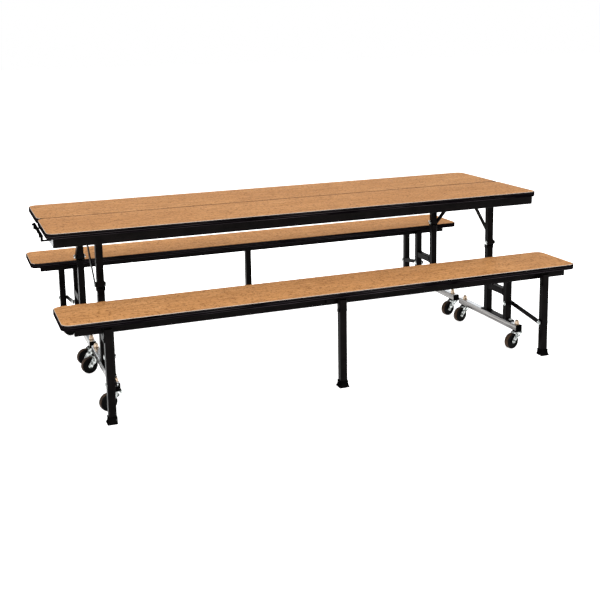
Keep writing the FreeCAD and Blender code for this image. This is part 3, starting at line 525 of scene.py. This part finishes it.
def laminate_sheet(node):
    """Laminate, trimmed at a slant all round; the slant takes the pale painted highlight, left out by the
    seam, where the slant shows the dark core.
    """
    low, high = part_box(f"rear_{node}")
    form = rounded_panel((low.x, low.y, high.z - LAMINATE_THICK), high, CORNER_RADIUS - EDGING_THICK)
    rim = [edge for edge in sharp_edges(form) if all(vert.co.z > high.z - 1e-5 for vert in edge.verts)]
    round_edges(form, rim, LAMINATE_EASE, 1)
    form.normal_update()
    for face in form.faces:
        # Slanted trim: pale painted highlight colour on the outer sides; by the seam the dark core finish
        # instead.
        if 0.3 < face.normal.z < 0.95:
            face.material_index = 2 if face.normal.y < -0.6 else 1
    return form


def panel_core(node):
    """Board under the laminate."""
    low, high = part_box(f"rear_{node}")
    top = (high.x, high.y, high.z - LAMINATE_THICK)
    return rounded_panel(low, top, CORNER_RADIUS - EDGING_THICK)


# Height up the edging and how far its face stands back there: round rims and two fine grooves.
EDGING_FACE = [(0.00, EDGING_RIM), (0.05, 0.0003), (0.12, 0.0), (0.28, 0.0), (0.34, 0.0011), (0.40, 0.0),
               (0.58, 0.0), (0.64, 0.0011), (0.70, 0.0), (0.88, 0.0), (0.95, 0.0003), (1.00, EDGING_RIM)]


def edging_ring(node):
    """Moulded strip round the board, with a ribbed face and a hollow middle."""
    low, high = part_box(f"rear_{node}")
    high.z -= EDGING_DROP
    form = rounded_panel(low, high, CORNER_RADIUS)
    heights = {round(low.z + part * (high.z - low.z), 6): back for part, back in EDGING_FACE}
    cut_levels(form, 2, list(heights)[1:-1])
    form.normal_update()
    moves = []
    for vert in form.verts:
        outward = Vector((vert.normal.x, vert.normal.y, 0)).normalized()
        nearest = min(heights, key=lambda height: abs(height - vert.co.z))
        moves.append((vert, -outward * heights[nearest]))
    for vert, move in moves:
        vert.co += move
    caps = [face for face in form.faces if abs(face.normal.z) > 0.9 and len(face.verts) > 8]
    for cap in caps:
        bmesh.ops.inset_region(form, faces=[cap], thickness=EDGING_THICK - EDGING_RIM, use_even_offset=True)
    bmesh.ops.delete(form, geom=caps, context="FACES_ONLY")
    bmesh.ops.bridge_loops(form, edges=[edge for edge in form.edges if len(edge.link_faces) == 1])
    bmesh.ops.recalc_face_normals(form, faces=form.faces)
    return form


def make_boards():
    """Laminate, board under it and edging, for the table leaf and for the bench."""
    for part, body in (("top", "leaf"), ("bench", "bench")):
        board, edging = f"{part}_board", f"{part}_edging"
        make_for_units(f"{part}_laminate", lambda: laminate_sheet(board), [OAK, CUT_EDGE_HIGHLIGHT, CORE],
                       body)
        make_for_units(f"{part}_core", lambda: panel_core(board), [CORE], body, board)
        make_for_units(f"{part}_edge_moulding", lambda: edging_ring(edging), [VINYL],
                       body, edging)


# ---------------------------------------------------------------- rails under the boards

def rail_corners():
    """Low and high corner of each lengthwise rail's section: apron, inner rail and the bench's two."""
    low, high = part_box("rear_top_rails")
    apron = ((high.y - APRON_THICK, low.z), (high.y, high.z))
    inner = ((low.y, high.z - LEAF_RAIL_DEPTH), (low.y + LEAF_RAIL_WIDTH, high.z))
    low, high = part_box("rear_bench_rails")
    outer = ((high.y - BENCH_RAIL_SIDE, high.z - BENCH_RAIL_SIDE), (high.y, high.z))
    deep = ((low.y, low.z), (low.y + BENCH_RAIL_SIDE, high.z))
    return {"leaf": (apron, inner), "bench": (outer, deep)}


def bench_plugs():
    """Moulded plugs that close the open ends of the bench's two rails."""
    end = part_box("rear_bench_rails")[1].x
    forms = []
    for (low_y, low_z), (high_y, high_z) in rail_corners()["bench"]:
        forms.append(block((end, low_y, low_z), (end + PLUG_STAND, high_y, high_z), PLUG_EASE))
    return join(forms)


def bench_rail_sole():
    """Deep lower part of the bench's outer rail, over the whole length of the rail."""
    (low_y, low_z), (high_y, _) = rail_corners()["bench"][0]
    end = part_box("rear_bench_rails")[1].x + PLUG_STAND
    low = (-end, low_y - SOLE_PROUD, low_z - SOLE_DEPTH)
    high = (end, high_y + SOLE_PROUD, low_z + SOLE_LAP)
    return block(low, high, SOLE_EASE)


def screw_head():
    """Pan head pointing down, with a round recess in it."""
    radius = SCREW_RADIUS
    outline = [(0, -0.0008), (radius * 0.3, -0.0008), (radius * 0.42, -0.0021), (radius * 0.7, -0.0021),
               (radius * 0.94, -0.0015), (radius, -0.0006), (radius, 0.0), (0, 0.0)]
    return turned(outline, 16)


def rail_screws(part):
    """Screws up through the two lengthwise rails of the leaf or the bench."""
    forms = []
    for ((low_y, low_z), (high_y, _)), drop in zip(rail_corners()[part], SCREW_DROPS[part]):
        for place in SCREW_PLACES:
            spot = (place, (low_y + high_y) / 2, low_z - drop)
            forms.append(put(screw_head(), Matrix.Translation(spot)))
    return join(forms)


def make_rail_details():
    make_for_units("bench_rail_sole", bench_rail_sole, [PAINT], "bench")
    make_for_units("bench_rail_plugs", lambda: both_sides(bench_plugs), [PLASTIC], "bench")
    for part in ("leaf", "bench"):
        make_for_units(f"{part}_rail_screws", lambda: both_sides(lambda: rail_screws(part)), [BOLT_ZINC],
                       part)


# ---------------------------------------------------------------- frame: welds, bolts and boots

def centre_of(node):
    """Middle of the node's box."""
    low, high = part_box(node)
    return (low + high) / 2


def frame_places():
    """Where the right ladder's posts, pivots and link pins stand, read from the frame."""
    ladder_low, ladder_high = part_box("rear_ladder_right")
    link_low, link_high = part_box("rear_link_right")
    upper_leg_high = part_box("rear_top_leg_right")[1]
    feet_low, feet_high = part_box("rear_leg_feet")
    return {
        "ladder": (ladder_low.x + ladder_high.x) / 2,
        "strip_top": ladder_low.z + STRIP_THICK,
        "inner_post": upper_leg_high.y - UPPER_LEG_HALF,
        "outer_post": link_low.y + LINK_HALF,
        "leaf_pivot": ladder_high.z - PIVOT_BELOW_TOP,
        "link_pin": link_high.z - LINK_HALF,
        "leg_pin": link_low.z + LINK_HALF,
        "link_inside": link_low.x,
        "link_outside": link_high.x,
        "leg_line": (feet_low.y + feet_high.y) / 2,
        "end_leg": feet_high.x - BOOT_HALF,
    }


AT = frame_places()


def weld_ring(middle, axis, place, thick=WELD_THICK):
    """Fillet of weld round a square tube, standing on the face at the place along the axis."""
    low, high = list(middle), list(middle)
    for other in range(3):
        if other == axis:
            low[other], high[other] = sorted((place, place + thick))
        else:
            low[other] -= TUBE_HALF + WELD_REACH
            high[other] += TUBE_HALF + WELD_REACH
    return block(low, high, WELD_EASE)


def ladder_welds():
    """Welds of both posts to the foot strip, and of the cross tube to both posts."""
    x = AT["ladder"]
    rings = [weld_ring((x, AT[post], 0), 2, AT["strip_top"]) for post in ("inner_post", "outer_post")]
    cross = (x, 0, CROSS_HEIGHT)
    rings.append(weld_ring(cross, 1, AT["inner_post"] + TUBE_HALF))
    rings.append(weld_ring(cross, 1, AT["outer_post"] - TUBE_HALF, -WELD_THICK))
    return join(rings)


def bolt_end(radius, thick):
    """Washer and six-sided head along +Z from the seat."""
    washer = turned([(0, 0), (radius * 1.12, 0), (radius * 1.18, WASHER_THICK * 0.5),
                     (radius * 1.12, WASHER_THICK), (0, WASHER_THICK)], 24)
    return join([washer, hexagon(radius, WASHER_THICK, thick)])


def bolt_pair(low_seat, high_seat, place, low_thick=HEX_THICK, high_thick=HEX_THICK):
    """Heads at the two ends of a bolt along x; the place is its y and z."""
    low = put(bolt_end(HEX_RADIUS, low_thick), facing((-1, 0, 0), (low_seat, *place)))
    high = put(bolt_end(HEX_RADIUS, high_thick), facing((1, 0, 0), (high_seat, *place)))
    return [low, high]


def link_spacer(length):
    """Round spacer along +Z between the post and the link."""
    rim = SPACER_RADIUS - SPACER_EASE / 2
    return turned([(0, 0), (rim, 0), (SPACER_RADIUS, SPACER_EASE), (SPACER_RADIUS, length - SPACER_EASE),
                   (rim, length), (0, length)], 24)


def base_fasteners():
    """Leaf pivot bolt, link bolt with its spacer, and the two bolts through the foot strip."""
    x = AT["ladder"]
    leaf_pivot = (AT["inner_post"], AT["leaf_pivot"])
    link_pivot = (AT["outer_post"], AT["link_pin"])
    post_face, link_face = x + TUBE_HALF, AT["link_inside"] - LINK_PLAY
    forms = bolt_pair(x - PIVOT_SEAT_INSIDE, x + PIVOT_SEAT_OUTSIDE, leaf_pivot)
    forms += bolt_pair(x - TUBE_HALF, AT["link_outside"] + LINK_PLAY, link_pivot, high_thick=THIN_HEAD)
    forms.append(put(link_spacer(link_face - post_face), facing((1, 0, 0), (post_face, *link_pivot))))
    for place in (AT["inner_post"] - STRIP_BOLT_REACH, AT["outer_post"] + STRIP_BOLT_REACH):
        head = bolt_end(STRIP_BOLT_RADIUS, HEX_THICK)
        forms.append(put(head, Matrix.Translation((x, place, AT["strip_top"]))))
    return join(forms)


def leg_fasteners():
    """Heads of the bolt that joins the link to the end leg."""
    x, place = AT["end_leg"], (AT["leg_line"], AT["leg_pin"])
    link_seat = x - TUBE_HALF - LINK_STAND - HEAD_OVER
    return join(bolt_pair(link_seat, x + TUBE_HALF, place, LINK_HEAD, HEX_THICK + HEAD_OVER))


# Height up the boot and how far its wall stands out there: rolled base, waist and a thin collar.
BOOT_FLARE = [(0.0, 0.0042), (0.0012, 0.005), (0.0050, 0.005), (0.0075, 0.0034), (0.0120, 0.0016),
              (0.0180, 0.0006), (0.0252, 0.0), (0.0258, 0.0009), (0.0292, 0.0009), (0.0300, 0.0003)]


def boot(flare_inside):
    """Boot at the origin; its foot flares to both sides of y and outwards in x."""
    top = BOOT_FLARE[-1][0]
    form = block((-BOOT_HALF, -BOOT_HALF, 0), (BOOT_HALF, BOOT_HALF, top))
    round_edges(form, edges_along(form, 2), BOOT_CORNER, 3)
    cut_levels(form, 2, [height for height, _ in BOOT_FLARE[1:-1]])
    reach = BOOT_HALF - BOOT_CORNER
    for vert in form.verts:
        out = min(BOOT_FLARE, key=lambda level: abs(level[0] - vert.co.z))[1]
        if abs(vert.co.y) > reach - 1e-6:
            vert.co.y += math.copysign(out, vert.co.y)
        if vert.co.x > reach - 1e-6 or (flare_inside and vert.co.x < -reach + 1e-6):
            vert.co.x += math.copysign(out, vert.co.x)
    return form


def boots():
    """Boots of the two end legs and the middle leg."""
    end_place = Matrix.Translation((AT["end_leg"], AT["leg_line"], 0))
    middle_place = Matrix.Translation((centre_of("rear_bench_leg_mid").x, AT["leg_line"], 0))
    return join([put(boot(False), end_place), put(boot(False), end_place, MIRROR),
                 put(boot(True), middle_place)])


def make_frame_details():
    make_for_units("ladder_welds", lambda: both_sides(ladder_welds), [PAINT], "base")
    make_for_units("frame_bolts", lambda: both_sides(base_fasteners), [BOLT_ZINC],
                   "base", "base_bolts")
    make_for_units("leg_bolt_heads", lambda: both_sides(leg_fasteners), [BOLT_ZINC], "bench_legs")
    make_for_units("leg_boots", boots, [PLASTIC], "bench_legs", "leg_feet")


# ---------------------------------------------------------------- release pull

def finger_grip(length):
    """Bar along +Z whose outer side rises and falls for the fingers."""
    steps = FINGER_WAVES * 8
    rim = GRIP_RADIUS - GRIP_END
    outline = [(0, 0), (rim, 0), (GRIP_RADIUS, GRIP_END)]
    outline += [(GRIP_RADIUS, length * step / steps) for step in range(1, steps)]
    outline += [(GRIP_RADIUS, length - GRIP_END), (rim, length), (0, length)]
    form = turned(outline, 24)
    for vert in form.verts:
        if vert.co.x > 0:
            wave = math.cos(2 * math.pi * FINGER_WAVES * vert.co.z / length)
            vert.co.x *= 1 - FINGER_DEPTH * wave
    return form


def grip_nub(reach):
    """Round nub along +Z with a wider end."""
    neck = NUB_RADIUS * 0.8
    return turned([(0, 0), (neck, 0), (neck, reach - 0.005), (NUB_RADIUS, reach - 0.0035),
                   (NUB_RADIUS, reach - 0.001), (neck, reach), (0, reach)], 20)


def pull_arm(low, high, grip_x, line):
    """Arm under the board with its stop at the inner end and an upright up to the grip."""
    arm_low = low.z + ARM_RISE
    arm_high = arm_low + ARM_THICK
    inner, outer = low.x + STOP_THICK, grip_x + UPRIGHT_HALF
    arm = block((inner, line - ARM_HALF, arm_low), (outer, line + ARM_HALF, arm_high), 0.001)
    stop = block((low.x, line - STOP_HALF, low.z), (inner, line + STOP_HALF, arm_high), 0.001)
    upright_low = (grip_x - UPRIGHT_HALF, line - ARM_HALF, arm_low)
    upright = block(upright_low, (outer, line + ARM_HALF, high.z), 0.0018, 3)
    return [arm, stop, upright]


def release_pull():
    """Grip along the leaf's end, on two arms that slide under the board."""
    low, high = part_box("rear_release_handle")
    x, height = high.x - GRIP_BACK, high.z - GRIP_RADIUS
    first, last = low.y + STOP_HALF, high.y - STOP_HALF
    lie_along_y = Matrix.Rotation(-math.pi / 2, 4, "X")
    forms = [put(finger_grip(last - first), lie_along_y, Matrix.Translation((x, first, height)))]
    for line in (first, last):
        forms += pull_arm(low, high, x, line)
        forms.append(put(grip_nub(high.x - x), facing((1, 0, 0), (x, line, height))))
    return join(forms)


def make_release_pull():
    make_for_units("pull_grip", release_pull, [PLASTIC], "pull", "release_handle")


# ---------------------------------------------------------------- casters

# Half of the wheel's section, radius and distance from its middle: hub, dished web, rim and tyre.
WHEEL_SECTION = [(HUB_BORE, 0.0128), (0.0085, 0.0128), (0.0100, 0.0118), (0.0112, 0.0098), (0.0270, 0.0088),
                 (0.0288, 0.0100), (0.0306, 0.0122), (0.0345, 0.0126), (0.0362, 0.0122), (0.0374, 0.0108),
                 (WHEEL_RADIUS, 0.0070)]


def wheel():
    """Wheel on its axle along Y, with the tread as the second finish."""
    outline = [(radius, -half) for radius, half in WHEEL_SECTION]
    outline += [(radius, half) for radius, half in reversed(WHEEL_SECTION)]
    outline.append(outline[0])
    form = turned(outline, 48)
    for face in form.faces:
        middle = face.calc_center_median()
        face.material_index = 1 if math.hypot(middle.x, middle.y) > TREAD_START else 0
    axle = Matrix.Translation((WHEEL_TRAIL, 0, WHEEL_RADIUS))
    return put(form, Matrix.Rotation(math.pi / 2, 4, "X"), axle)


def fork_side():
    """Outline of a fork leg: from the crown back and down to the round lobe at the axle."""
    outline = [(-CROWN_RADIUS, FORK_FRONT), (-CROWN_RADIUS, CROWN_TOP), (CROWN_RADIUS, CROWN_TOP)]
    for step in range(LOBE_POINTS):
        angle = math.radians(LOBE_START - LOBE_STEP * step)
        across, up = LOBE_RADIUS * math.cos(angle), LOBE_RADIUS * math.sin(angle)
        outline.append((WHEEL_TRAIL + across, WHEEL_RADIUS + up))
    return outline


def fork_bead(face):
    """Stiffening bead that slants down the fork leg's face."""
    start, end = BEAD_REACH
    bead = block((start, -BEAD_STAND, -BEAD_HALF), (end, BEAD_STAND, BEAD_HALF), 0.0006)
    x, z = BEAD_START
    return put(bead, Matrix.Rotation(BEAD_LEAN, 4, "Y"), Matrix.Translation((x, face, z)))


def fork():
    """Pressed fork: crown, two legs with a stiffening bead each, and the axle's heads."""
    crown_low = (-CROWN_RADIUS, -FORK_OUTSIDE, CROWN_BOTTOM)
    crown_high = (CROWN_RADIUS, FORK_OUTSIDE, CROWN_TOP)
    forms = [block(crown_low, crown_high, FORK_EASE)]
    for side in (-1, 1):
        faces = sorted((side * FORK_INSIDE, side * FORK_OUTSIDE))
        forms.append(plate(fork_side(), *faces))
        forms.append(fork_bead(side * FORK_OUTSIDE))
        head = bolt_end(AXLE_HEAD_RADIUS, AXLE_HEAD)
        forms.append(put(head, facing((0, side, 0), (WHEEL_TRAIL, side * FORK_OUTSIDE, WHEEL_RADIUS))))
    return join(forms)


def race():
    """Raceway between the fork's crown and the bar."""
    return turned([(RACE_BORE, RACE_BOTTOM), (RACE_RADIUS - 0.0015, RACE_BOTTOM),
                   (RACE_RADIUS, RACE_BOTTOM + 0.0012), (RACE_RADIUS, BAR_BOTTOM - 0.0012),
                   (RACE_RADIUS - 0.0012, BAR_BOTTOM), (RACE_BORE, BAR_BOTTOM),
                   (RACE_BORE, RACE_BOTTOM)], 40)


def acorn_nut():
    """Washer, six-sided nut and its domed cap on the stem, above the bar."""
    washer_top, nut_top = BAR_TOP + WASHER_THICK, BAR_TOP + NUT_HEIGHT
    washer = turned([(0, BAR_TOP), (0.0126, BAR_TOP), (0.0128, washer_top), (0, washer_top + 0.0006)], 28)
    dome = turned([(0.0092, nut_top - 0.001), (0.0090, nut_top + 0.003), (0.0076, nut_top + 0.0066),
                   (0.0046, nut_top + 0.0092), (0, nut_top + DOME_HEIGHT)], 28)
    return join([washer, hexagon(NUT_RADIUS, washer_top, nut_top, 0.0012), dome])


def caster_stand(unit, tag):
    """Place and turn of a caster about its stem, read from its wheel."""
    axle = centre_of(f"{unit}_wheel_{tag}")
    trail = TRAIL_TURN @ Vector((WHEEL_TRAIL, 0, 0))
    return Matrix.Translation((axle.x - trail.x, axle.y - trail.y, 0)) @ TRAIL_TURN


def make_casters():
    """Wheels and forks one by one, and each unit's raceways and nuts together."""
    for unit in UNIT_TURNS:
        races, nuts = [], []
        for tag in CASTERS:
            stand = caster_stand(unit, tag)
            make_piece(f"{unit}_caster_wheel_{tag}", put(wheel(), stand), [WHEEL_BLACK, TREAD],
                       f"{unit}_roller_{tag}", (f"{unit}_wheel_{tag}",))
            make_piece(f"{unit}_caster_fork_{tag}", put(fork(), stand), [ZINC],
                       f"{unit}_caster_{tag}", (f"{unit}_fork_{tag}",))
            races.append(put(race(), stand))
            nuts.append(put(acorn_nut(), stand))
        make_piece(f"{unit}_raceways", join(races), [PLASTIC], f"{unit}_base")
        make_piece(f"{unit}_acorn_nuts", join(nuts), [WARM_ZINC], f"{unit}_base")


def bar_end_caps():
    """Moulded caps on both ends of the caster bar."""
    low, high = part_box("rear_bar_caps")
    x_low = high.x - 2 * TUBE_HALF
    outer = block((x_low, high.y - CAP_THICK, low.z), (high.x, high.y, high.z), CAP_EASE, 3)
    inner = block((x_low, low.y, low.z), (high.x, low.y + CAP_THICK, high.z), CAP_EASE, 3)
    return join([outer, inner])


def make_bar_caps():
    make_for_units("bar_end_caps", lambda: both_sides(bar_end_caps), [PLASTIC],
                   "base", "bar_caps")


# ---------------------------------------------------------------- CAD nodes that keep their shape

def dress(node, finish):
    """Give a node of the model its finish."""
    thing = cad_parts[node]
    if not thing.material_slots:
        thing.data.materials.append(finish)
    for holder in thing.material_slots:
        holder.material = finish


def finish_nodes():
    """Paint on the rails, legs, links and ladder frames, and bright plate on the caster bars."""
    leaf_paint = leaf_frame_paint()
    for unit in UNIT_TURNS:
        dress(f"{unit}_top_rails", leaf_paint)
        for node in ("bench_rails", "bench_brackets", "bench_leg_mid"):
            dress(f"{unit}_{node}", PAINT)
        for side in ("left", "right"):
            for node in ("top_leg", "bench_leg", "link", "ladder"):
                dress(f"{unit}_{node}_{side}", PAINT)
            dress(f"{unit}_caster_bar_{side}", BRIGHT)


# ---------------------------------------------------------------- stage, light and camera

FLOOR_REACH = 40


def make_floor():
    """Wide plain floor under the table."""
    form = bmesh.new()
    bmesh.ops.create_grid(form, x_segments=1, y_segments=1, size=FLOOR_REACH)
    mesh = bpy.data.meshes.new("floor")
    form.to_mesh(mesh)
    form.free()
    mesh.materials.append(pale_floor())
    floor = bpy.data.objects.new("floor", mesh)
    bpy.context.scene.collection.objects.link(floor)


def make_light(name, place, target, size, power, shine=True):
    """Soft rectangular lamp that points at the target."""
    lamp = bpy.data.lights.new(name, "AREA")
    lamp.shape = "RECTANGLE"
    lamp.size, lamp.size_y = size
    lamp.energy = power
    holder = bpy.data.objects.new(name, lamp)
    bpy.context.scene.collection.objects.link(holder)
    holder.location = place
    holder.visible_camera = False
    holder.visible_glossy = shine
    holder.rotation_mode = "QUATERNION"
    holder.rotation_quaternion = (Vector(target) - Vector(place)).to_track_quat("-Z", "Y")


def make_world(strength):
    """Even white light from all round."""
    world = bpy.data.worlds.new("studio")
    bpy.context.scene.world = world
    world.use_nodes = True
    sky = world.node_tree.nodes["Background"]
    sky.inputs["Color"].default_value = (1, 1, 1, 1)
    sky.inputs["Strength"].default_value = strength


def make_camera():
    """Camera off the front left corner, a little above the table and level with its length."""
    place = Vector((-1.6453, -4.4595, 1.5654))
    turn, down, roll = 0.3671, 0.1745, -0.0169
    focal_share = 964.67 / 600
    rise = -100 / 600
    ahead = Vector((math.sin(turn) * math.cos(down), math.cos(turn) * math.cos(down), -math.sin(down)))
    level = Vector((math.cos(turn), -math.sin(turn), 0))
    upright = level.cross(ahead)
    right = math.cos(roll) * level + math.sin(roll) * upright
    up = math.cos(roll) * upright - math.sin(roll) * level
    lens = bpy.data.cameras.new("camera")
    lens.sensor_width = 36
    lens.lens = focal_share * lens.sensor_width
    lens.shift_y = rise
    lens.clip_end = 200
    camera = bpy.data.objects.new("camera", lens)
    bpy.context.scene.collection.objects.link(camera)
    camera.matrix_world = Matrix.Translation(place) @ Matrix((right, up, -ahead)).transposed().to_4x4()
    bpy.context.scene.camera = camera


def make_studio():
    """White room, two soft lamps before the table, and a fill lamp level with each bench."""
    make_floor()
    make_world(1.0)
    make_light("key", (-3.0, -3.2, 3.0), (0, 0, 0.5), (2.0, 2.0), 22)
    make_light("brow", (-0.6, -2.6, 4.2), (0, 0, 0.4), (5.0, 1.0), 26)
    make_light("front_fill", (0.2, -2.6, 1.0), (0.2, -0.5, 0.43), (4.0, 0.3), 50, shine=False)
    make_light("rear_fill", (0, 2.6, 1.1), (0, 0.5, 0.43), (4.0, 0.3), 62, shine=False)
    make_camera()
    bpy.context.scene.view_settings.view_transform = "Standard"


make_boards()
make_rail_details()
make_frame_details()
make_release_pull()
make_casters()
make_bar_caps()
finish_nodes()
make_studio()
